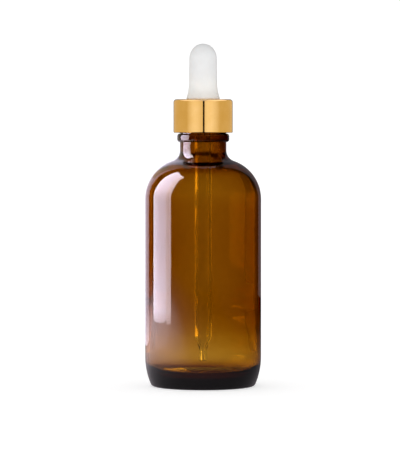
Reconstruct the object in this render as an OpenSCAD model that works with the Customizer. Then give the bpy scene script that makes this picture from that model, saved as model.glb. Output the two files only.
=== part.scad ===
// Dropper bottle: a round amber bottle and the screw-on dropper that closes it.
// The dropper is a threaded closure in a metal shell, a rubber bulb and a glass pipette.
// Millimetres, +Z up. The origin is the middle of the ring that the bottle stands on.

/* [Bottle body] */
// Outside diameter of the body
body_d = 48.4; // [42:0.2:60]
// Height of the glass from the ground to the lip
bottle_h = 116; // [100:1:140]
// Thickness of the body wall
wall = 2.3; // [1.8:0.1:2.8]
// Radius of the round shoulder
shoulder_r = 16.8; // [14:0.2:20]
// Height over which the heel curves in to the base
heel_h = 12; // [8:0.5:15]
// Radius of that curve
heel_r = 28; // [22:1:36]
// Radius of the edge between heel and base
base_edge_r = 1.6; // [1:0.1:2]
// Width of the ring that the bottle stands on
rest_ring_w = 2.4; // [1.5:0.1:4]
// Rise of the hollow under the base
push_up_h = 1.8; // [1:0.1:3]
// Thickness of the glass in the middle of the base
base_t = 5; // [3:0.1:7]

/* [Bottle neck] */
// Outside diameter of the neck, without thread and bead
neck_d = 19.4; // [18:0.1:24]
// Thickness of the glass at the mouth
neck_wall = 1.7; // [1.4:0.1:2.4]
// Length of the plain neck between bead and flare
neck_len = 3.6; // [2:0.1:8]
// Radius of the flare between neck and shoulder
flare_r = 4.5; // [3:0.1:6]
// How far the bead under the thread stands out of the neck
bead_out = 1.2; // [0.8:0.05:1.4]
// Height of the bead
bead_h = 3.5; // [2.5:0.1:4.5]

/* [Thread] */
// Rise of one turn
pitch = 3.175; // [2.6:0.005:3.9]
// Turns of the ridge on the neck
thread_turns = 1.25; // [1:0.05:1.4]
// How far the ridge stands out of the neck
thread_h = 1.1; // [0.8:0.05:1.3]
// Distance from the lip down to the upper end of the ridge
thread_drop = 2; // [1.8:0.1:3]
// Distance from the lower end of the ridge down to the bead
thread_foot = 4.6; // [4.2:0.1:7]

/* [Closure and shell] */
// Thickness of the closure's top
closure_top_t = 1.05; // [0.8:0.05:2]
// Thickness of the closure's skirt
closure_wall = 0.88; // [0.7:0.02:1.6]
// Thickness of the metal
shell_t = 0.35; // [0.2:0.05:0.6]
// Radius of the shell's upper edge
shell_edge_r = 1.2; // [0.8:0.1:1.6]

/* [Bulb] */
// Height of the bulb above the shell
bulb_h = 23.2; // [18:0.2:30]
// Diameter of the bulb under its dome
bulb_d = 11.4; // [10:0.1:14]
// Height of the dome
dome_h = 6.2; // [4:0.1:8]
// How far the collar on the shell flares out past the bulb's wall
collar_out = 1.3; // [1:0.05:2]
// Thickness of the bulb's wall
bulb_wall = 1.3; // [1:0.1:1.8]
// How far the flange inside the closure reaches past the neck
flange_out = 0.5; // [0.2:0.05:1]
// Thickness of that flange
flange_t = 1.4; // [1:0.1:2.2]

/* [Pipette and seal] */
// Outside diameter of the pipette
pipette_d = 7; // [5.8:0.1:8.4]
// Thickness of the pipette's glass
pipette_wall = 1; // [0.8:0.1:1.3]
// Gap between the pipette's tip and the bottle's floor
tip_gap = 3.7; // [2:0.1:12]
// Diameter of the drawn tip
tip_d = 3.4; // [3:0.1:4]
// Diameter of the hole in the tip
tip_bore_d = 1.3; // [0.8:0.1:1.6]
// Length of the straight tip
tip_len = 5.2; // [3:0.1:8]
// Length of the taper above it
taper_len = 6.2; // [4:0.1:10]
// Depth of the pipette in the bulb, from the flange
grip_len = 7.4; // [5:0.1:9]
// Thickness of the seal between lip and flange
seal_t = 0.8; // [0.6:0.1:1.5]

/* [Clearances] */
// Gap between faces that turn or lift against each other
seat_gap = 0.05; // [0.03:0.01:0.1]
// Radial gap between a piece and the hole that it turns in
turn_gap = 0.1; // [0.05:0.01:0.1]
// Radial gap between pieces that are pressed together
press_gap = 0.02; // [0.01:0.01:0.03]
// Radial gap between the two threads
thread_gap = 0.35; // [0.3:0.05:0.5]

/* [Hidden] */

$fn = 96;
arc_steps = 8;
thread_steps_per_turn = 40;

// Bottle
body_r = body_d / 2;
inner_r = body_r - wall;
neck_r = neck_d / 2;
mouth_r = neck_r - neck_wall;
bead_r = neck_r + bead_out;
thread_z = bottle_h - thread_drop;
bead_top = thread_z - thread_turns * pitch - thread_foot;
bead_edge_r = 1.1;
lip_edge_r = 0.6;
floor_z = push_up_h + base_t;
floor_corner_r = 6;
floor_rise = 1.2;
inner_flare_r = 6;
shoulder_x = body_r - shoulder_r;
flare_z = bead_top - bead_h - neck_len;
shoulder_z = flare_z - leg(shoulder_r + flare_r, neck_r + flare_r - shoulder_x);
inner_shoulder_r = shoulder_r - wall - 0.3;
inner_shoulder_x = inner_r - inner_shoulder_r;
inner_flare_z = shoulder_z + leg(inner_shoulder_r + inner_flare_r, mouth_r + inner_flare_r - inner_shoulder_x);

// Heights where the dropper sits on the lip, from the lip up
flange_z = bottle_h + seal_t + seat_gap;
web_z = flange_z + flange_t + seat_gap;
closure_top = web_z + closure_top_t;
shell_top = closure_top + shell_t;
collar_z = shell_top + seat_gap;
bulb_top = shell_top + bulb_h;
shell_bottom = bead_top + 0.35;

// Radii around the neck, from the inside out
thread_crest_r = neck_r + thread_h;
closure_crest_r = neck_r + thread_gap;
flange_r = neck_r + flange_out;
closure_bore_r = max(thread_crest_r, flange_r) + 0.3;
closure_r = closure_bore_r + closure_wall;
shell_r = closure_r + press_gap + shell_t;
seal_r = closure_crest_r - 0.5;

// Bulb and pipette
bulb_r = bulb_d / 2;
bulb_base_r = bulb_r + 0.1;
collar_r = bulb_r + collar_out;
groove_r = collar_r - 1.45;
cavity_r = bulb_r - bulb_wall;
dome_z = bulb_top - dome_h;
bulb_flare_z = collar_z + 7.2;
collar_edge = 0.3;
pipette_r = pipette_d / 2;
pipette_bore_r = pipette_r - pipette_wall;
pipette_top = flange_z + grip_len;
tip_z = floor_z + tip_gap;
taper_z = tip_z + tip_len;

// The other leg of a right-angled triangle
function leg(slant, side) = sqrt(slant * slant - side * side);

// Points along an arc, both ends included
function arc(x, z, r, from, to, steps = arc_steps) =
    [for (i = [0:steps]) let (a = from + (to - from) * i / steps) [x + r * cos(a), z + r * sin(a)]];

// Points of a shallow dome that rises from radius r at height z to the axis
function dome(r, z, rise, steps = 4) =
    let (big = (r * r + rise * rise) / (2 * rise), half = asin(r / big))
    arc(0, z + rise - big, big, 90, 90 - half, steps);

// Points of a quarter ellipse from the wall up to the axis
function quarter(z, r, h, steps = arc_steps) =
    [for (i = [0:steps]) let (a = 90 * i / steps) [r * cos(a), z + h * sin(a)]];

// Points of a smooth step from radius r0 at z0 to radius r1 at z1
function smooth_step(r0, z0, r1, z1, steps = arc_steps) =
    [for (i = [0:steps]) let (t = i / steps) [r0 + (r1 - r0) * (1 - cos(180 * t)) / 2, z0 + (z1 - z0) * t]];

function reversed(points) = [for (i = [len(points) - 1:-1:0]) points[i]];

// One ring of a thread's section: at the wall, at the crest, and back
function thread_ring(angle, z, wall_r, crest_r, wall_w, crest_w) =
    [for (p = [[wall_r, wall_w / 2], [crest_r, crest_w / 2], [crest_r, -crest_w / 2], [wall_r, -wall_w / 2]])
        [p[0] * cos(angle), p[0] * sin(angle), z + p[1]]];

// A right-hand ridge that runs down from the turn "from" to the turn "to" and fades out at both ends.
// z is its height at turn 0.
module thread(z, from, to, wall_r, crest_r, wall_w, crest_w) {
    sunk = sign(crest_r - wall_r) * 0.25;
    fade_turns = 0.1;
    steps = ceil((to - from) * thread_steps_per_turn);
    rings = [for (i = [0:steps])
        let (turn = from + (to - from) * i / steps,
             fade = min(1, (turn - from) / fade_turns, (to - turn) / fade_turns),
             crest = wall_r - sunk / 2 + (crest_r - wall_r + sunk / 2) * fade)
        thread_ring(-360 * turn, z - pitch * turn, wall_r - sunk, crest, wall_w, crest_w)];
    sides = [for (i = [0:steps - 1]) for (k = [0:3])
        let (a = 4 * i + k, b = 4 * i + (k + 1) % 4)
        each [[a, b, b + 4], [a, b + 4, a + 4]]];
    ends = [[0, 3, 2, 1], [4 * steps, 4 * steps + 1, 4 * steps + 2, 4 * steps + 3]];
    outward = crest_r > wall_r;
    faces = concat(sides, ends);
    polyhedron([for (r = rings) each r], outward ? faces : [for (f = faces) reversed(f)], convexity = 6);
}

module bottle_outline() {
    heel_x = body_r - heel_r;
    edge_x = heel_x + leg(heel_r - base_edge_r, heel_h - base_edge_r);
    edge_a = atan2(base_edge_r - heel_h, edge_x - heel_x);
    flare_x = neck_r + flare_r;
    flare_a = atan2(flare_z - shoulder_z, flare_x - shoulder_x);
    inner_flare_x = mouth_r + inner_flare_r;
    inner_flare_a = atan2(inner_flare_z - shoulder_z, inner_flare_x - inner_shoulder_x);
    floor_edge_z = floor_z - floor_rise;
    polygon(concat(
        dome(edge_x - rest_ring_w, 0, push_up_h),
        arc(edge_x, base_edge_r, base_edge_r, -90, edge_a, 5),
        arc(heel_x, heel_h, heel_r, edge_a, 0, 5),
        arc(shoulder_x, shoulder_z, shoulder_r, 0, flare_a, 12),
        arc(flare_x, flare_z, flare_r, 180 + flare_a, 180),
        arc(bead_r - bead_edge_r, bead_top - bead_h + bead_edge_r, bead_edge_r, -90, 0, 5),
        arc(bead_r - bead_edge_r, bead_top - bead_edge_r, bead_edge_r, 0, 90, 5),
        [[neck_r, bead_top]],
        arc(neck_r - lip_edge_r, bottle_h - lip_edge_r, lip_edge_r, 0, 90, 4),
        arc(mouth_r + lip_edge_r, bottle_h - lip_edge_r, lip_edge_r, 90, 180, 4),
        arc(inner_flare_x, inner_flare_z, inner_flare_r, 180, 180 + inner_flare_a),
        arc(inner_shoulder_x, shoulder_z, inner_shoulder_r, inner_flare_a, 0, 12),
        arc(inner_r - floor_corner_r, floor_edge_z + floor_corner_r, floor_corner_r, 0, -90),
        reversed(dome(inner_r - floor_corner_r - 1, floor_edge_z, floor_rise))));
}

module bottle() {
    color([0.45, 0.22, 0.04])
    union() {
        rotate_extrude() bottle_outline();
        thread(thread_z, 0, thread_turns, neck_r, thread_crest_r, 0.6 * pitch, 0.24 * pitch);
    }
}

module closure() {
    skirt_bottom = shell_bottom + shell_t + press_gap;
    upward_bias = 0.05 * pitch;
    color([0.92, 0.92, 0.9])
    union() {
        rotate_extrude() polygon([
            [closure_bore_r + 0.3, skirt_bottom], [closure_r, skirt_bottom],
            [closure_r, closure_top - shell_edge_r], [closure_r - 0.4, closure_top - 0.4],
            [closure_r - shell_edge_r, closure_top], [groove_r + turn_gap, closure_top],
            [groove_r + turn_gap, web_z], [closure_bore_r, web_z],
            [closure_bore_r, skirt_bottom + 0.3]]);
        thread(thread_z - pitch / 2 + upward_bias, 0.1, thread_turns,
            closure_bore_r, closure_crest_r, 0.48 * pitch, 0.2 * pitch);
    }
}

module shell() {
    hole_r = collar_r - 0.8;
    inside_r = shell_r - shell_t;
    inside_edge_r = shell_edge_r - shell_t;
    curl_r = 0.4;
    curl_w = 0.9;
    color([0.83, 0.62, 0.25])
    rotate_extrude() polygon(concat(
        [[shell_r - curl_w, shell_bottom]],
        arc(shell_r - curl_r, shell_bottom + curl_r, curl_r, -90, 0, 4),
        arc(shell_r - shell_edge_r, shell_top - shell_edge_r, shell_edge_r, 0, 90, 6),
        [[hole_r, shell_top], [hole_r, shell_top - shell_t]],
        arc(inside_r - inside_edge_r, closure_top - inside_edge_r, inside_edge_r, 90, 0, 6),
        [[inside_r, shell_bottom + shell_t], [shell_r - curl_w, shell_bottom + shell_t]]));
}

module bulb() {
    drop = collar_r - bulb_base_r;
    rise = bulb_flare_z - collar_z - collar_edge;
    flare = (rise * rise + drop * drop) / (2 * drop);
    cavity_z = pipette_top + 0.1;
    hole_r = pipette_r + press_gap;
    color([0.93, 0.93, 0.91])
    rotate_extrude() polygon(concat(
        [[hole_r, flange_z], [flange_r, flange_z], [flange_r, flange_z + flange_t],
         [groove_r, flange_z + flange_t], [groove_r, collar_z], [collar_r - collar_edge, collar_z]],
        arc(bulb_base_r + flare, bulb_flare_z, flare, 180 + asin(rise / flare), 180, 6),
        quarter(dome_z, bulb_r, dome_h, 10),
        reversed(quarter(dome_z, cavity_r, dome_h - bulb_wall)),
        [[cavity_r, cavity_z + cavity_r - hole_r], [hole_r, cavity_z]]));
}

module pipette() {
    round_r = 0.4;
    color([0.85, 0.88, 0.88])
    rotate_extrude() polygon(concat(
        [[tip_bore_d / 2, tip_z]],
        arc(tip_d / 2 - round_r, tip_z + round_r, round_r, -90, 0, 4),
        smooth_step(tip_d / 2, taper_z, pipette_r, taper_z + taper_len),
        arc(pipette_r - round_r, pipette_top - round_r, round_r, 0, 90, 4),
        [[pipette_bore_r, pipette_top]],
        reversed(smooth_step(tip_bore_d / 2, taper_z, pipette_bore_r, taper_z + taper_len))));
}

module seal_washer() {
    color([0.88, 0.88, 0.84])
    translate([0, 0, bottle_h])
    difference() {
        cylinder(h = seal_t, r = seal_r);
        translate([0, 0, -1]) cylinder(h = seal_t + 2, r = pipette_r + turn_gap);
    }
}

bottle();
closure();
shell();
bulb();
pipette();
seal_washer();
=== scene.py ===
import math

import bmesh
import bpy
from mathutils import Matrix, Vector, noise


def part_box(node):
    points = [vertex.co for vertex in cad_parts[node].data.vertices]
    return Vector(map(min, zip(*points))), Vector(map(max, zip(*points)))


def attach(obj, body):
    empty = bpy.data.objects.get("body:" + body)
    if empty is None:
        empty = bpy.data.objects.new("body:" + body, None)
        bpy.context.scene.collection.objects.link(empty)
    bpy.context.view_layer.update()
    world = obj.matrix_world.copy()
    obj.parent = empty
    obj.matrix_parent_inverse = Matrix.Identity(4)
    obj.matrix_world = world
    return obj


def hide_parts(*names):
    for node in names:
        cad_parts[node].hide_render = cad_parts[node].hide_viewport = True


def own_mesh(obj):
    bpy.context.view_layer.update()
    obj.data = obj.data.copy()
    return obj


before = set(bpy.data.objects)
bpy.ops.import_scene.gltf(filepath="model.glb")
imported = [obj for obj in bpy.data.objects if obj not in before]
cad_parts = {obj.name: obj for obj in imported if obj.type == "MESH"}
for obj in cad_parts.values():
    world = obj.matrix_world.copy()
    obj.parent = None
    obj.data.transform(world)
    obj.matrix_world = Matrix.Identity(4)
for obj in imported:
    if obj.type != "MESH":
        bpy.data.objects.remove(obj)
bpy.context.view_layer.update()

MM = 0.001

# Sizes of the pieces in millimetres, from the frame's own boxes
body_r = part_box("bottle")[1].x / MM
lip_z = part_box("bottle")[1].z / MM
tip_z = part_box("pipette")[0].z / MM
pipette_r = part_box("pipette")[1].x / MM
pipette_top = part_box("pipette")[1].z / MM
shell_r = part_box("shell")[1].x / MM
shell_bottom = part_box("shell")[0].z / MM
shell_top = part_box("shell")[1].z / MM
flange_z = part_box("bulb")[0].z / MM
bulb_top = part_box("bulb")[1].z / MM
seal_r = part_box("seal_washer")[1].x / MM
seal_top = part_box("seal_washer")[1].z / MM

neck_r = 9.7
mouth_r = 8.0
inner_r = body_r - 2.3
bead_r = 10.9
bead_top = lip_z - 10.57
bead_bottom = bead_top - 3.5
pitch = 3.175
thread_turns = 1.25
thread_z = lip_z - 2
thread_h = 1.1
dome_h = 6.2
dome_z = bulb_top - dome_h


# ---- Shapes ----

def leg(slant, side):
    """The other leg of a right-angled triangle."""
    return math.sqrt(slant * slant - side * side)


def soft_step(t):
    """0 to 1 with a soft start and a soft end."""
    t = min(max(t, 0.0), 1.0)
    return t * t * (3 - 2 * t)


def draw_line(bm, tip, r, z, parts=1):
    """Draws the outline straight on to radius r and height z."""
    begin, end = tip.co.copy(), Vector((r * MM, 0, z * MM))
    if (end - begin).length < 1e-6:
        return tip
    for i in range(parts):
        tip = bmesh.ops.extrude_vert_indiv(bm, verts=[tip])["verts"][0]
        tip.co = begin.lerp(end, (i + 1) / parts)
    return tip


def draw_arc(bm, tip, r, z, radius, start, end, steps):
    """Draws the outline round a centre, between two angles from outwards, in degrees."""
    a = math.radians(start)
    tip = draw_line(bm, tip, r + radius * math.cos(a), z + radius * math.sin(a))
    swept = bmesh.ops.spin(bm, geom=[tip], cent=(r * MM, 0, z * MM), axis=(0, -1, 0),
                           angle=math.radians(end - start), steps=steps)
    return next(v for v in swept["geom_last"] if isinstance(v, bmesh.types.BMVert))


def draw_outline(bm, start, moves, closed):
    """Draws lines (r, z, parts) and arcs (r, z, radius, start, end, steps) one after another."""
    first = tip = bm.verts.new((start[0] * MM, 0, start[1] * MM))
    for move in moves:
        draw = draw_line if len(move) <= 3 else draw_arc
        tip = draw(bm, tip, *move)
    if closed:
        bm.edges.new((tip, first))


def turn_round(bm, steps):
    """Spins the outline once round the axis and closes it."""
    bmesh.ops.spin(bm, geom=bm.verts[:] + bm.edges[:], cent=(0, 0, 0), axis=(0, 0, 1),
                   angle=2 * math.pi, steps=steps, use_merge=True)
    bmesh.ops.remove_doubles(bm, verts=bm.verts[:], dist=2e-7)
    bmesh.ops.dissolve_degenerate(bm, dist=1e-7, edges=bm.edges[:])
    bmesh.ops.recalc_face_normals(bm, faces=bm.faces[:])


def finish_piece(bm, name, sharp=40):
    """Makes the piece from its mesh, smooth but for the edges sharper than the angle."""
    bmesh.ops.triangulate(bm, faces=[f for f in bm.faces if len(f.verts) > 4])
    mesh = bpy.data.meshes.new(name)
    bm.to_mesh(mesh)
    bm.free()
    mesh.shade_smooth()
    mesh.set_sharp_from_angle(angle=math.radians(sharp))
    piece = bpy.data.objects.new(name, mesh)
    bpy.context.scene.collection.objects.link(piece)
    return piece


def turned_piece(name, start, moves, steps=96, closed=True, sharp=40):
    """A piece turned round the axis from one outline."""
    bm = bmesh.new()
    draw_outline(bm, start, moves, closed)
    turn_round(bm, steps)
    return finish_piece(bm, name, sharp)


def raise_thread(bm):
    """Raises the bottle's right-hand thread from the wall of its finish."""
    foot, crest = 0.3 * pitch, 0.12 * pitch
    for v in bm.verts:
        r, z = Vector((v.co.x, v.co.y)).length / MM, v.co.z / MM
        if abs(r - neck_r) > 0.01 or z < bead_top + 0.2:
            continue
        first_turn = (-math.atan2(v.co.y, v.co.x) / (2 * math.pi)) % 1
        rise = 0.0
        for turn in (first_turn, first_turn + 1):
            away = abs(z - (thread_z - pitch * turn))
            fade = soft_step(min(turn, thread_turns - turn) / 0.1)
            rise = max(rise, fade * soft_step((foot - away) / (foot - crest)))
        scale = 1 + rise * thread_h / r
        v.co.x *= scale
        v.co.y *= scale


def raise_seam(bm, turn, height, width, low, high):
    """Raises the mould's parting line on the outside, on both sides of the axis."""
    along = Vector((math.cos(turn), math.sin(turn), 0))
    across = Vector((-along.y, along.x, 0))
    for offset in (-width, -width / 2, 0, width / 2, width):
        bmesh.ops.bisect_plane(bm, geom=bm.verts[:] + bm.edges[:] + bm.faces[:], dist=1e-7,
                               plane_co=across * offset * MM, plane_no=across)
    bm.normal_update()
    for v in bm.verts:
        out = Vector((v.co.x, v.co.y, 0))
        away = abs(v.co.dot(across)) / MM
        if away < width and low < v.co.z / MM < high and v.normal.dot(out) > 0:
            v.co += v.normal * height * MM * soft_step(1 - away / width)


def make_bottle():
    """The blown bottle: push-up, heel, shoulder, neck, bead, thread and lip in one outline."""
    shoulder_r, flare_r, heel_r, edge_r = 16.8, 4.5, 28.0, 1.6
    shoulder_x = body_r - shoulder_r
    flare_z = bead_bottom - 3.6
    reach = neck_r + flare_r - shoulder_x
    shoulder_z = flare_z - leg(shoulder_r + flare_r, reach)
    flare_a = math.degrees(math.atan2(flare_z - shoulder_z, reach))
    inner_shoulder_r, inner_flare_r = 14.2, 6.0
    inner_x = inner_r - inner_shoulder_r
    inner_reach = mouth_r + inner_flare_r - inner_x
    inner_flare_z = shoulder_z + leg(inner_shoulder_r + inner_flare_r, inner_reach)
    inner_a = math.degrees(math.atan2(inner_flare_z - shoulder_z, inner_reach))
    heel_x, heel_z = body_r - heel_r, 12
    edge_x = heel_x + leg(heel_r - edge_r, heel_z - edge_r)
    edge_a = math.degrees(math.atan2(edge_r - heel_z, edge_x - heel_x))
    push_up, rest_w = 1.8, 2.4
    push_r = edge_x - rest_w
    push_ball = (push_r ** 2 + push_up ** 2) / (2 * push_up)
    push_half = math.degrees(math.asin(push_r / push_ball))
    floor_z, floor_rise, corner_r = 6.0, 1.2, 6.0
    floor_edge = floor_z - floor_rise
    floor_r = inner_r - corner_r - 1
    floor_ball = (floor_r ** 2 + floor_rise ** 2) / (2 * floor_rise)
    floor_half = math.degrees(math.asin(floor_r / floor_ball))
    bead_edge, lip_edge = 1.1, 0.6
    bm = bmesh.new()
    draw_outline(bm, (0, push_up), [
        (0, push_up - push_ball, push_ball, 90, 90 - push_half, 10),
        (edge_x, 0, 3),
        (edge_x, edge_r, edge_r, -90, edge_a, 8),
        (heel_x, heel_z, heel_r, edge_a, 0, 10),
        (body_r, shoulder_z, 12),
        (shoulder_x, shoulder_z, shoulder_r, 0, flare_a, 22),
        (neck_r + flare_r, flare_z, flare_r, 180 + flare_a, 180, 12),
        (neck_r, bead_bottom, 3),
        (bead_r - bead_edge, bead_bottom + bead_edge, bead_edge, -90, 0, 8),
        (bead_r - bead_edge, bead_top - bead_edge, bead_edge, 0, 90, 8),
        (neck_r, bead_top, 1),
        (neck_r, lip_z - lip_edge, 70),
        (neck_r - lip_edge, lip_z - lip_edge, lip_edge, 0, 90, 6),
        (mouth_r + lip_edge, lip_z - lip_edge, lip_edge, 90, 180, 6),
        (mouth_r, inner_flare_z, 10),
        (mouth_r + inner_flare_r, inner_flare_z, inner_flare_r, 180, 180 + inner_a, 12),
        (inner_x, shoulder_z, inner_shoulder_r, inner_a, 0, 20),
        (inner_r, floor_edge + corner_r, 40),
        (inner_r - corner_r, floor_edge + corner_r, corner_r, 0, -90, 14),
        (0, floor_z - floor_ball, floor_ball, 90 - floor_half, 90, 8)], closed=False)
    turn_round(bm, 176)
    raise_thread(bm)
    uneven_inside(bm, floor_z)
    raise_seam(bm, math.radians(-10), 0.05, 0.35, 3, bead_bottom)
    return finish_piece(bm, "amber_bottle")


# How much the blown wall gains on its nominal thickness: (height, gain) in millimetres
WALL_GAIN = ((6.0, 0.0), (8, -0.6), (14, -0.75), (20, -0.45), (27, 0.0), (32, 0.15), (44, 0.06),
             (60, 0.12), (74, 0.05), (82, -0.2), (88, -0.3), (91, -0.1), (95, 1.0), (99, 0.9),
             (104, 1.0), (107, 0.7), (110, 0.2), (113, 0), (116, 0))


def wall_gain(z):
    """Thickness that the blown wall gains at a height."""
    for (low, first), (high, second) in zip(WALL_GAIN, WALL_GAIN[1:]):
        if low <= z <= high:
            return first + (second - first) * soft_step((z - low) / (high - low))
    return 0.0


def uneven_inside(bm, floor_z):
    """Thins and thickens the blown inner wall, which no mould shaped."""
    bm.normal_update()
    for v in bm.verts:
        z = v.co.z / MM
        if v.normal.dot(Vector((v.co.x, v.co.y, 0))) >= 0 or z < floor_z:
            continue
        ends = soft_step((z - floor_z) / 10) * soft_step((bead_bottom - z) / 12)
        ripple = 0.07 * ends * noise.noise(Vector((v.co.x * 40, v.co.y * 40, v.co.z * 12)))
        v.co += v.normal * MM * (wall_gain(z) + ripple)


def taper(first, last, z, height, steps=14):
    """Outline points that ease from the first radius to the last."""
    return [(first + (last - first) * (1 - math.cos(math.pi * i / steps)) / 2,
             z + height * i / steps) for i in range(steps + 1)]


def make_pipette():
    """The glass tube, drawn to a narrow tip and fire-polished at both ends."""
    bore, tip_r, tip_bore = 2.5, 1.7, 0.65
    taper_z, taper_len = tip_z + 5.2, 6.2
    end_r, tip_edge, top_edge = 0.4, 0.2, 0.3
    return turned_piece("glass_pipette", (tip_bore, tip_z + tip_edge), [
        (tip_bore + tip_edge, tip_z + tip_edge, tip_edge, 180, 270, 4),
        (tip_r - end_r, tip_z + end_r, end_r, -90, 0, 6),
        *taper(tip_r, pipette_r, taper_z, taper_len),
        (pipette_r, pipette_top - end_r, 20),
        (pipette_r - end_r, pipette_top - end_r, end_r, 0, 90, 6),
        (bore + top_edge, pipette_top - top_edge, top_edge, 90, 180, 4),
        *reversed(taper(tip_bore, bore, taper_z, taper_len))], steps=72)


def bulb_side(z):
    """Radius of the bulb's outside at height z, from the collar up to the dome."""
    base_z, wall_z, base_r, wall_r = shell_top + 0.35, shell_top + 7.25, 7.0, 5.8
    drop, draft = base_r - wall_r, 0.1
    flare = ((wall_z - base_z) ** 2 + drop ** 2) / (2 * drop)
    if z >= wall_z:
        return wall_r - draft * (z - wall_z) / (dome_z - wall_z)
    return wall_r + flare - leg(flare, wall_z - z)


def make_bulb_grip():
    """The flange, groove and grip of the bulb, which the closure and the pipette hold."""
    flange_r, flange_t, groove_r, bore, skin = 10.2, 1.4, 5.55, 3.52, 0.42
    edge, shoulder = 0.2, 1.2
    collar_z, top_z = shell_top + 0.05, pipette_top - 0.1
    low_z, side_h, rows = collar_z + 0.3, top_z - collar_z - 1.5, 8
    side_z = [low_z + side_h * i / rows for i in range(rows + 1)]
    side = [(bulb_side(z) - skin, z) for z in side_z]
    shoulder_r = side[-1][0]
    return turned_piece("bulb_grip", (bore, flange_z), [
        (flange_r - edge, flange_z + edge, edge, -90, 0, 4),
        (flange_r - edge, flange_z + flange_t - edge, edge, 0, 90, 4),
        (groove_r, flange_z + flange_t),
        (groove_r, collar_z),
        (side[0][0], collar_z),
        *side,
        (shoulder_r - shoulder, top_z - shoulder, shoulder, 0, 90, 8),
        (bore, top_z)], steps=96)


def dome(r, z, height, parts, first=0):
    """Outline points of a dome, from its rim to its top."""
    turns = [math.pi * i / (2 * parts) for i in range(first, parts + 1)]
    return [(r * math.cos(a), z + height * math.sin(a)) for a in turns]


def make_bulb_teat():
    """The teat, whose hollow part is pinched and whose skirt covers the grip."""
    skirt_z, wall, skin, rim = shell_top + 0.06, 1.3, 0.4, 0.3
    hole_r, step_r, step_z, rows = 3.6, 4.2, 1.2, 32
    outer_r, under_z = bulb_side(dome_z), pipette_top - 0.05
    low_z = skirt_z + rim
    side_z = [low_z + (dome_z - skirt_z - rim) * i / rows for i in range(rows + 1)]
    under = [(bulb_side(z) - skin, z) for z in reversed(side_z) if z < under_z - step_z]
    cavity_r, cavity_z = outer_r - wall, pipette_top + 0.1
    bm = bmesh.new()
    draw_outline(bm, (hole_r, cavity_z), [
        (hole_r, under_z), (step_r, under_z), *under,
        (bulb_side(skirt_z) - skin, skirt_z),
        (bulb_side(skirt_z) - rim, skirt_z),
        *((bulb_side(z), z) for z in side_z),
        *dome(outer_r, dome_z, dome_h, 24, first=1)], closed=False)
    tip = bm.verts.new((hole_r * MM, 0, cavity_z * MM))
    for r, z in [(cavity_r, cavity_z + 0.9), *dome(cavity_r, dome_z, dome_h - wall, 20)]:
        tip = draw_line(bm, tip, r, z)
    bmesh.ops.remove_doubles(bm, verts=bm.verts[:], dist=1e-6)
    turn_round(bm, 96)
    raise_seam(bm, 0.0, 0.03, 0.3, shell_top + 1, bulb_top - 0.5)
    return finish_piece(bm, "bulb_teat")


def make_shell():
    """The pressed shell, rounded at the top and curled inwards at the bottom."""
    thick, edge_r, curl_r, curl_w, hole_r = 0.35, 1.2, 0.4, 0.9, 6.2
    curl_edge, hole_edge = 0.12, 0.1
    inside = shell_r - thick
    bend = edge_r - thick
    return turned_piece("gold_shell", (shell_r - curl_w, shell_bottom + curl_edge), [
        (shell_r - curl_w + curl_edge, shell_bottom + curl_edge, curl_edge, 180, 270, 3),
        (shell_r - curl_r, shell_bottom + curl_r, curl_r, -90, 0, 8),
        (shell_r, shell_top - edge_r, 8),
        (shell_r - edge_r, shell_top - edge_r, edge_r, 0, 90, 12),
        (hole_r + hole_edge, shell_top - hole_edge, hole_edge, 90, 180, 3),
        (hole_r, shell_top - thick),
        (inside - bend, shell_top - thick - bend, bend, 90, 0, 8),
        (inside, shell_bottom + thick, 4),
        (shell_r - curl_w, shell_bottom + thick)], steps=160)


def make_seal():
    """The flat foam ring on the lip."""
    hole_r, edge = pipette_r + 0.1, 0.12
    return turned_piece("foam_seal", (hole_r, lip_z + edge), [
        (hole_r + edge, lip_z + edge, edge, 180, 270, 3),
        (seal_r - edge, lip_z + edge, edge, -90, 0, 3),
        (seal_r - edge, seal_top - edge, edge, 0, 90, 3),
        (hole_r + edge, seal_top - edge, edge, 90, 180, 3)], steps=96)


# ---- Finishes ----

# Sockets of a colour mix: its share, first colour, second colour and result
SHARE, FIRST, SECOND, MIXED = 0, 6, 7, 2


def new_finish(name):
    """An empty material with its shader, and its node tree."""
    finish = bpy.data.materials.new(name)
    finish.use_nodes = True
    tree = finish.node_tree
    shader = tree.nodes["Principled BSDF"]
    return finish, tree, shader


def grain(tree, size, detail=3.0, stretch=(1, 1, 1), rough=0.5):
    """Noise of about the given size in millimetres, fixed to the piece."""
    place = tree.nodes.new("ShaderNodeTexCoord")
    turn = tree.nodes.new("ShaderNodeMapping")
    turn.inputs["Scale"].default_value = stretch
    cloud = tree.nodes.new("ShaderNodeTexNoise")
    cloud.inputs["Scale"].default_value = 1 / (size * MM)
    cloud.inputs["Detail"].default_value = detail
    cloud.inputs["Roughness"].default_value = rough
    tree.links.new(place.outputs["Object"], turn.inputs["Vector"])
    tree.links.new(turn.outputs["Vector"], cloud.inputs["Vector"])
    return cloud.outputs["Fac"]


def spread(tree, value, low, high, start=0.3, end=0.7):
    """Spreads a value between low and high."""
    band = tree.nodes.new("ShaderNodeMapRange")
    band.interpolation_type = "SMOOTHSTEP"
    ends = {"From Min": start, "From Max": end, "To Min": low, "To Max": high}
    for socket, number in ends.items():
        band.inputs[socket].default_value = number
    tree.links.new(value, band.inputs["Value"])
    return band.outputs["Result"]


def blend_colours(tree, value, first, second):
    """Colours between first and second by a value."""
    mix = tree.nodes.new("ShaderNodeMix")
    mix.data_type = "RGBA"
    mix.inputs[FIRST].default_value = (*first, 1)
    mix.inputs[SECOND].default_value = (*second, 1)
    tree.links.new(value, mix.inputs[SHARE])
    return mix.outputs[MIXED]


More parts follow.
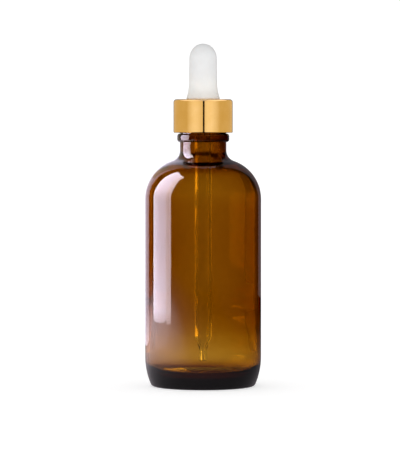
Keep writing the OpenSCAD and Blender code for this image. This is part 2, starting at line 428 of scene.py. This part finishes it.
def height_share(tree, start, end):
    """0 at height start to 1 at height end, in millimetres."""
    place = tree.nodes.new("ShaderNodeTexCoord")
    parts = tree.nodes.new("ShaderNodeSeparateXYZ")
    tree.links.new(place.outputs["Object"], parts.inputs["Vector"])
    return spread(tree, parts.outputs["Z"], 0, 1, start * MM, end * MM)


def relief(tree, shader, value, depth):
    """A relief of the given depth in millimetres, on top of any relief already there."""
    bump = tree.nodes.new("ShaderNodeBump")
    bump.inputs["Distance"].default_value = depth * MM
    tree.links.new(value, bump.inputs["Height"])
    held = shader.inputs["Normal"].links
    if held:
        tree.links.new(held[0].from_socket, bump.inputs["Normal"])
    tree.links.new(bump.outputs["Normal"], shader.inputs["Normal"])


def glass(name, tint, density, ior, ripple):
    """Clear or coloured glass. A metre absorbs the density's multiple of what the tint lacks."""
    finish, tree, shader = new_finish(name)
    shader.inputs["Base Color"].default_value = (1, 1, 1, 1)
    shader.inputs["Transmission Weight"].default_value = 1
    shader.inputs["IOR"].default_value = ior
    handled = spread(tree, grain(tree, 9, 4), 0.0, 0.006, 0.45, 0.75)
    tree.links.new(handled, shader.inputs["Roughness"])
    relief(tree, shader, grain(tree, 22, 1, (1, 1, 0.4)), ripple)
    body = tree.nodes.new("ShaderNodeVolumeAbsorption")
    body.inputs["Color"].default_value = (*tint, 1)
    body.inputs["Density"].default_value = density
    tree.links.new(body.outputs["Volume"], tree.nodes["Material Output"].inputs["Volume"])
    return finish


def gold_finish():
    """Bright anodised aluminium, spun and lightly handled."""
    finish, tree, shader = new_finish("gold_anodised")
    shader.inputs["Metallic"].default_value = 1
    spun = grain(tree, 0.35, 4, (0.06, 0.06, 1.0))
    handled = grain(tree, 5, 5)
    tint = blend_colours(tree, spread(tree, handled, 0, 1), (0.92, 0.53, 0.13), (0.96, 0.57, 0.16))
    tree.links.new(tint, shader.inputs["Base Color"])
    tree.links.new(spread(tree, handled, 0.05, 0.09), shader.inputs["Roughness"])
    relief(tree, shader, spun, 0.0008)
    return finish


def rubber_finish():
    """Soft white rubber, a little see-through where it is thin, with painted light towards the
    collar.
    """
    finish, tree, shader = new_finish("white_rubber")
    cloud = grain(tree, 4, 4)
    clean = blend_colours(tree, spread(tree, cloud, 0, 1), (0.92, 0.92, 0.92), (0.95, 0.95, 0.95))
    # Painted light: the rubber is lighter and a little warmer towards the collar, making up for the
    # shade that the shell casts there.
    warm_light = blend_colours(tree, height_share(tree, bulb_top - 9, shell_top),
                         (0.85, 0.85, 0.85), (0.99, 0.985, 0.955))
    both = tree.nodes.new("ShaderNodeMix")
    both.data_type, both.blend_type = "RGBA", "MULTIPLY"
    both.inputs[SHARE].default_value = 1
    tree.links.new(clean, both.inputs[FIRST])
    tree.links.new(warm_light, both.inputs[SECOND])
    tree.links.new(both.outputs[MIXED], shader.inputs["Base Color"])
    shader.inputs["Subsurface Weight"].default_value = 0.3
    shader.inputs["Subsurface Radius"].default_value = (1.0, 0.9, 0.85)
    shader.inputs["Subsurface Scale"].default_value = 0.0015
    shader.inputs["IOR"].default_value = 1.42
    tree.links.new(spread(tree, cloud, 0.38, 0.5), shader.inputs["Roughness"])
    relief(tree, shader, grain(tree, 0.25, 2), 0.004)
    return finish


def plastic_finish():
    """White moulded plastic."""
    finish, tree, shader = new_finish("white_moulded_plastic")
    cloud = grain(tree, 3, 4)
    tint = blend_colours(tree, spread(tree, cloud, 0, 1), (0.78, 0.78, 0.75), (0.83, 0.83, 0.80))
    tree.links.new(tint, shader.inputs["Base Color"])
    tree.links.new(spread(tree, cloud, 0.32, 0.42), shader.inputs["Roughness"])
    shader.inputs["Subsurface Weight"].default_value = 0.15
    shader.inputs["Subsurface Scale"].default_value = 0.0008
    relief(tree, shader, grain(tree, 0.4, 3), 0.004)
    return finish


def foam_finish():
    """Fine closed-cell foam."""
    finish, tree, shader = new_finish("white_foam")
    place = tree.nodes.new("ShaderNodeTexCoord")
    cells = tree.nodes.new("ShaderNodeTexVoronoi")
    cells.inputs["Scale"].default_value = 1 / (0.3 * MM)
    tree.links.new(place.outputs["Object"], cells.inputs["Vector"])
    depth = cells.outputs["Distance"]
    tint = blend_colours(tree, spread(tree, depth, 0, 1, 0.1, 0.6),
                         (0.80, 0.80, 0.76), (0.66, 0.66, 0.62))
    tree.links.new(tint, shader.inputs["Base Color"])
    shader.inputs["Roughness"].default_value = 0.7
    relief(tree, shader, depth, 0.05)
    return finish


def dress(piece, finish):
    """Gives the piece its finish alone."""
    piece.data.materials.clear()
    piece.data.materials.append(finish)


# ---- Pieces on their bodies ----

amber = glass("amber_glass", (0.765, 0.6, 0.02), 1560, 1.5, 0.008)
clear = glass("clear_glass", (0.88, 0.93, 0.905), 400, 1.5, 0.001)
rubber = rubber_finish()

bottle = make_bottle()
pipette = make_pipette()
grip = make_bulb_grip()
teat = make_bulb_teat()
shell = make_shell()
seal = make_seal()
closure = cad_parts["closure"]

dress(bottle, amber)
dress(pipette, clear)
dress(grip, rubber)
dress(teat, rubber)
dress(shell, gold_finish())
dress(seal, foam_finish())
dress(closure, plastic_finish())

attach(bottle, "bottle")
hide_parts("bottle")
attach(pipette, "pipette")
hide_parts("pipette")
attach(shell, "closure")
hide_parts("shell")
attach(seal, "seal")
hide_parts("seal_washer")
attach(grip, "pipette")
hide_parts("bulb")
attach(teat, "bulb")
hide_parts("bulb")
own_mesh(teat)


# ---- Studio ----

def plain_finish(name, colour, glow=(1, 1, 1), strength=0.0):
    """A finish without gloss, which can give light of its own."""
    finish, tree, shader = new_finish(name)
    shader.inputs["Base Color"].default_value = (*colour, 1)
    shader.inputs["Specular IOR Level"].default_value = 0
    shader.inputs["Emission Color"].default_value = (*glow, 1)
    shader.inputs["Emission Strength"].default_value = strength
    return finish, tree, shader


def show_only(thing, way):
    """Shows a studio piece in mirrors alone, or through glass alone."""
    thing.visible_camera = thing.visible_diffuse = thing.visible_shadow = False
    thing.visible_glossy = way == "mirror"
    thing.visible_transmission = way == "through"


def make_floor():
    """A pale floor that sweeps up into a pale backdrop."""
    bm = bmesh.new()
    tip = bm.verts.new((-3, -3, 0))
    end = bmesh.ops.extrude_vert_indiv(bm, verts=[tip])["verts"][0]
    end.co = (-3, 1.6, 0)
    swept = bmesh.ops.spin(bm, geom=[end], cent=(-3, 1.6, 1.0), axis=(1, 0, 0),
                           angle=math.radians(90), steps=24)
    top = next(v for v in swept["geom_last"] if isinstance(v, bmesh.types.BMVert))
    wall = bmesh.ops.extrude_vert_indiv(bm, verts=[top])["verts"][0]
    wall.co = top.co + Vector((0, 0, 2.4))
    sheet = bmesh.ops.extrude_edge_only(bm, edges=bm.edges[:])
    across = [v for v in sheet["geom"] if isinstance(v, bmesh.types.BMVert)]
    bmesh.ops.translate(bm, vec=(6, 0, 0), verts=across)
    bmesh.ops.recalc_face_normals(bm, faces=bm.faces[:])
    floor = finish_piece(bm, "studio_floor")
    finish, tree, shader = plain_finish("pale_floor", (0.7, 0.7, 0.7), strength=0.55)
    shader.inputs["Roughness"].default_value = 0.9
    dress(floor, finish)
    floor.visible_glossy = False


def only_inside(tree):
    """Share of a panel that shows: all of it once a ray has been mirrored deep inside the glass."""
    path = tree.nodes.new("ShaderNodeLightPath")
    deep = tree.nodes.new("ShaderNodeMapRange")
    deep.inputs["From Min"].default_value, deep.inputs["From Max"].default_value = 1.5, 3.5
    mirrored = tree.nodes.new("ShaderNodeMath")
    mirrored.operation = "MINIMUM"
    mirrored.inputs[1].default_value = 1
    share = tree.nodes.new("ShaderNodeMath")
    share.operation = "MULTIPLY"
    tree.links.new(path.outputs["Transmission Depth"], deep.inputs["Value"])
    tree.links.new(path.outputs["Glossy Depth"], mirrored.inputs[0])
    tree.links.new(deep.outputs["Result"], share.inputs[0])
    tree.links.new(mirrored.outputs["Value"], share.inputs[1])
    return share.outputs["Value"]


def by_place(tree, along, stops):
    """Strength along a panel's width (0), height (1) or outwards (2), from (share, strength)."""
    spot = tree.nodes.new("ShaderNodeNewGeometry")
    ramp = tree.nodes.new("ShaderNodeFloatCurve")
    curve = ramp.mapping.curves[0]
    strongest = max(strength for share, strength in stops)
    for i, (share, strength) in enumerate(stops):
        point = curve.points[i] if i < 2 else curve.points.new(share, strength / strongest)
        point.location = (share, strength / strongest)
        point.handle_type = "VECTOR"
    ramp.mapping.update()
    if along == 2:
        centred = tree.nodes.new("ShaderNodeVectorMath")
        centred.operation = "MULTIPLY_ADD"
        centred.inputs[1].default_value = (2, 2, 0)
        centred.inputs[2].default_value = (-1, -1, 0)
        out = tree.nodes.new("ShaderNodeVectorMath")
        out.operation = "LENGTH"
        tree.links.new(spot.outputs["Parametric"], centred.inputs[0])
        tree.links.new(centred.outputs["Vector"], out.inputs[0])
        tree.links.new(out.outputs["Value"], ramp.inputs["Value"])
    else:
        parts = tree.nodes.new("ShaderNodeSeparateXYZ")
        tree.links.new(spot.outputs["Parametric"], parts.inputs["Vector"])
        tree.links.new(parts.outputs[along], ramp.inputs["Value"])
    gain = tree.nodes.new("ShaderNodeMath")
    gain.operation = "MULTIPLY"
    gain.inputs[1].default_value = strongest
    tree.links.new(ramp.outputs["Value"], gain.inputs[0])
    return gain.outputs["Value"]


def make_panel(name, at, aim, size, glow, lit, sees="mirror", along=0, stops=None):
    """A soft panel that shows in the mirror of some pieces, through them, or only lights them."""
    light = bpy.data.lights.new(name, "AREA")
    light.shape = "RECTANGLE"
    light.size, light.size_y = size
    strongest = max(glow)
    light.energy = strongest * math.pi * size[0] * size[1]
    light.color = [part / strongest for part in glow]
    light.use_nodes = True
    tree = light.node_tree
    strength = tree.nodes["Emission"].inputs["Strength"]
    if stops:
        tree.links.new(by_place(tree, along, stops), strength)
    elif sees == "inside":
        tree.links.new(only_inside(tree), strength)
    panel = bpy.data.objects.new(name, light)
    panel.location = at
    panel.rotation_euler = (Vector(aim) - Vector(at)).to_track_quat("-Z", "Y").to_euler()
    bpy.context.scene.collection.objects.link(panel)
    panel.visible_camera = False
    panel.visible_glossy = sees == "mirror"
    panel.visible_transmission = sees == "inside"
    panel.visible_diffuse = sees == "light"
    group = bpy.data.collections.new(name + "_pieces")
    for piece in lit:
        group.objects.link(piece)
    panel.light_linking.receiver_collection = group


def round_panel(name, turn, half, reach, low, high, glow, lit, **kind):
    """An upright panel facing the axis. Its turn is from the front to the right, in degrees."""
    a = math.radians(turn)
    middle = (low + high) / 2
    at = (reach * math.sin(a), -reach * math.cos(a), middle)
    size = (2 * reach * math.tan(math.radians(half)), high - low)
    make_panel(name, at, (0, 0, middle), size, glow, lit, **kind)


def make_card(name, turn, half, reach, height, near, far):
    """An upright card behind the glass, seen only through it. It is darker away from the middle."""
    bm = bmesh.new()
    bmesh.ops.create_grid(bm, x_segments=2, y_segments=2, size=0.5)
    width = 2 * reach * math.tan(math.radians(half))
    spin_up = Matrix.Rotation(math.radians(90), 3, "X")
    spin_round = Matrix.Rotation(math.radians(turn), 3, "Z")
    bmesh.ops.scale(bm, vec=(width, height, 1), verts=bm.verts[:])
    bmesh.ops.rotate(bm, cent=(0, 0, 0), matrix=spin_up, verts=bm.verts[:])
    bmesh.ops.translate(bm, vec=(0, -reach, height / 2 + 0.001), verts=bm.verts[:])
    bmesh.ops.rotate(bm, cent=(0, 0, 0), matrix=spin_round, verts=bm.verts[:])
    card = finish_piece(bm, name)
    finish, tree, shader = plain_finish(name, (0, 0, 0))
    place = tree.nodes.new("ShaderNodeTexCoord")
    across = tree.nodes.new("ShaderNodeMapping")
    across.vector_type = "TEXTURE"
    across.inputs["Rotation"].default_value = (0, 0, math.radians(turn))
    parts = tree.nodes.new("ShaderNodeSeparateXYZ")
    tree.links.new(place.outputs["Object"], across.inputs["Vector"])
    tree.links.new(across.outputs["Vector"], parts.inputs["Vector"])
    inner = width / 2 if turn > 0 else -width / 2
    dark = spread(tree, parts.outputs["X"], near, far, inner, inner * 0.3)
    rise = spread(tree, parts.outputs["Z"], 0, 1, 0.0, 0.25)
    shade = tree.nodes.new("ShaderNodeMix")
    shade.inputs[2].default_value = 1
    tree.links.new(rise, shade.inputs[0])
    tree.links.new(dark, shade.inputs[3])
    tree.links.new(shade.outputs[0], shader.inputs["Emission Strength"])
    dress(card, finish)
    show_only(card, "through")


def make_ceiling():
    """A dark ceiling over the glass, seen only through it."""
    bm = bmesh.new()
    bmesh.ops.create_grid(bm, x_segments=2, y_segments=2, size=1.5)
    bmesh.ops.translate(bm, vec=(0, 0, 0.9), verts=bm.verts[:])
    ceiling = finish_piece(bm, "ceiling")
    dress(ceiling, plain_finish("dark_ceiling", (0.01, 0.01, 0.01))[0])
    show_only(ceiling, "through")


def make_flag(name, low, high):
    """A small dull gold flag that keeps the window's glare off the back of the shoulder."""
    low, high = Vector(low) * MM, Vector(high) * MM
    bm = bmesh.new()
    bmesh.ops.create_cube(bm, size=1)
    bmesh.ops.scale(bm, vec=high - low, verts=bm.verts[:])
    bmesh.ops.translate(bm, vec=(low + high) / 2, verts=bm.verts[:])
    flag = finish_piece(bm, name)
    dress(flag, plain_finish(name, (0, 0, 0), (0.68, 0.62, 0.5), 1)[0])
    show_only(flag, "mirror")


def make_world():
    """An even pale room that doesn't show in mirrors."""
    world = bpy.data.worlds.new("pale_room")
    world.use_nodes = True
    tree = world.node_tree
    room = tree.nodes["Background"]
    room.inputs["Color"].default_value = (1, 1, 1, 1)
    path = tree.nodes.new("ShaderNodeLightPath")
    strength = tree.nodes.new("ShaderNodeMapRange")
    strength.inputs["To Min"].default_value = 1.1
    strength.inputs["To Max"].default_value = 0.7
    tree.links.new(path.outputs["Is Diffuse Ray"], strength.inputs["Value"])
    tree.links.new(strength.outputs["Result"], room.inputs["Strength"])
    world.cycles_visibility.glossy = False
    bpy.context.scene.world = world


def make_camera():
    """A long lens, level with the closure."""
    lens = bpy.data.cameras.new("camera")
    lens.lens, lens.sensor_width = 234, 36
    lens.clip_end = 50
    camera = bpy.data.objects.new("camera", lens)
    camera.location = (-0.0013, -1.22, 0.113)
    camera.rotation_euler = (math.radians(90 - 2.146), 0, 0)
    bpy.context.scene.collection.objects.link(camera)
    bpy.context.scene.camera = camera


# Strength of the window from its sill (0) to its top (1)
UP_WINDOW = ((0, 0.5), (1, 1.7), (0.008, 1.0), (0.03, 1.2), (0.058, 1.05), (0.1, 0.98), (0.4, 1.7))

# Strength of the lit table outwards from its brightest place, over 0.75 m
TABLE_GLOW = ((0, 3.8), (1, 0.0), (0.2, 3.4), (0.25, 2.6), (0.36, 1.7), (0.43, 1.1), (0.48, 0.65),
              (0.54, 0.28), (0.68, 0.12), (0.85, 0.03))


def light_glass():
    """A tall window on the left, the table that it lights, and faint rims behind."""
    lit = (bottle, pipette)
    round_panel("window", -95.5, 18.5, 0.4, 0.0, 0.75, (8.5, 7.8, 9.4), lit,
                along=1, stops=UP_WINDOW)
    round_panel("window_edge", -71, 6, 0.4, 0.0, 0.75, (7.2, 6.2, 6.7), lit,
                along=1, stops=UP_WINDOW)
    round_panel("rim_left", -158, 23, 0.6, -0.03, 1.0, (1.15, 1.05, 1.25), lit)
    round_panel("rim_right", 160, 20, 0.6, 0.0, 1.0, (0.18, 0.16, 0.18), lit)
    make_panel("table", (-0.42, 0.02, -0.002), (-0.42, 0.02, 1), (1.5, 1.5), (1.0, 0.9, 0.98), lit,
               along=2, stops=TABLE_GLOW)
    round_panel("window_inside", -90, 25, 0.4, 0.027, 0.75, (7, 7, 7), lit, sees="inside")
    round_panel("sill_inside", -93, 21, 0.4, 0.001, 0.008, (18, 18, 18), lit, sees="inside")
    round_panel("backlight_inside", -147, 28, 0.45, -0.3, 1.0, (4.8, 4.8, 4.8), lit, sees="inside")
    make_card("dark_card_right", 138, 33, 0.6, 1.2, 0.55, 0.05)
    make_card("grey_card_left", -155, 13, 0.6, 1.2, 0.6, 0.5)
    make_ceiling()
    make_flag("flag_back", (-31, 9, 93), (-30, 40, 200))


def light_cap():
    """Panels all round the shell, with a narrow gap in front and a dim back."""
    cap = (shell,)
    warm_light, cool = (0.68, 0.62, 0.5), (0.36, 0.46, 0.95)
    round_panel("cap_side_left", -71, 70, 0.5, -0.3, 1.8, warm_light, cap)
    round_panel("cap_side_right", 75, 69.5, 0.5, -0.3, 1.8, warm_light, cap)
    round_panel("cap_front_left", -34, 32, 0.5, -0.3, 0.5, cool, cap, stops=(
        (0, 0.0), (1, 0.45), (0.2, 0.45), (0.4, 0.85), (0.55, 0.97), (0.7, 0.85), (0.84, 0.6)))
    round_panel("cap_front_right", 37, 31, 0.5, -0.3, 0.5, cool, cap, stops=(
        (0, 0.65), (1, 0.0), (0.2, 1.0), (0.45, 1.0), (0.73, 0.5)))
    round_panel("cap_back", 180, 38, 0.5, -0.3, 0.9, (1.0, 0.9, 0.72), cap, stops=(
        (0, 0.62), (1, 0.62), (0.25, 0.42), (0.4, 0.15), (0.5, 0.07), (0.6, 0.15), (0.75, 0.42)))
    make_panel("cap_top", (0, 0, 0.65), (0, 0, 0), (1.3, 1.0), (0.6, 0.7, 1.6), cap)


def light_rubber():
    """A broad front light on the bulb and the white plastic."""
    make_panel("front_light", (0, -1.0, 0.3), (0, 0, 0.12), (0.6, 0.6), (2.35, 2.35, 2.35),
               (grip, teat, seal, closure), sees="light")


make_world()
make_floor()
make_camera()
light_glass()
light_cap()
light_rubber()
bpy.context.scene.view_settings.view_transform = "Standard"
bpy.context.scene.cycles.max_bounces = 24
bpy.context.scene.cycles.transmission_bounces = 20
bpy.context.scene.cycles.glossy_bounces = 8
